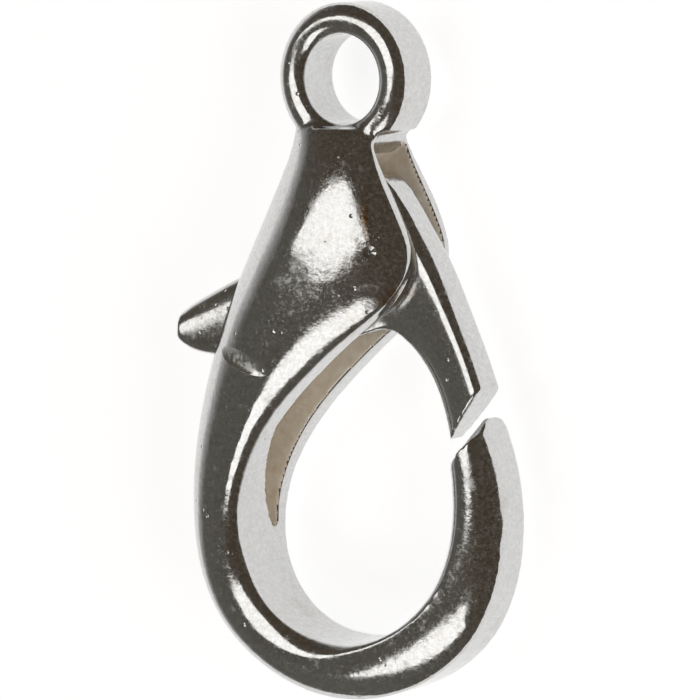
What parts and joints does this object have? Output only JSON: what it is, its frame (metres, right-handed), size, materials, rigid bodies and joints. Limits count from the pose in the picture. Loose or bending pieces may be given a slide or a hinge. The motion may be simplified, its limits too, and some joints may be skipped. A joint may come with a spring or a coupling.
{
  "type": "lobster clasp",
  "caption": "Cast lobster clasp: a teardrop hook with a round eye for a jump ring, and a trigger lever that turns on a hidden pin to open the hook.",
  "frame": {"origin": "centre of the hole through the eye, at mid-thickness", "axes": "+X across the hook toward the gate, +Y from the hook toward the eye, +Z out of the front face; the part lies flat with its back face down"},
  "size_m": [0.0067, 0.012, 0.0024],
  "materials": {
    "body_metal": "polished plating over a zinc casting, slightly pitted and dark in the recesses",
    "lever_metal": "polished plating over a zinc casting, a little duller than the body",
    "pin_metal": "plain steel wire"
  },
  "bodies": {
    "clasp": {"body": "body_metal", "pivot_pin": "pin_metal"},
    "gate_lever": {"lever": "lever_metal"}
  },
  "joints": [
    {"name": "lever_pivot", "type": "hinge", "parent": "clasp", "child": "gate_lever", "pos_m": [0.00096, -0.00285, 0], "axis": [0, 0, 1], "range_deg": [-24, 0], "stiffness_Nm_per_rad": 0.00002, "springref_deg": 11.46}
  ]
}
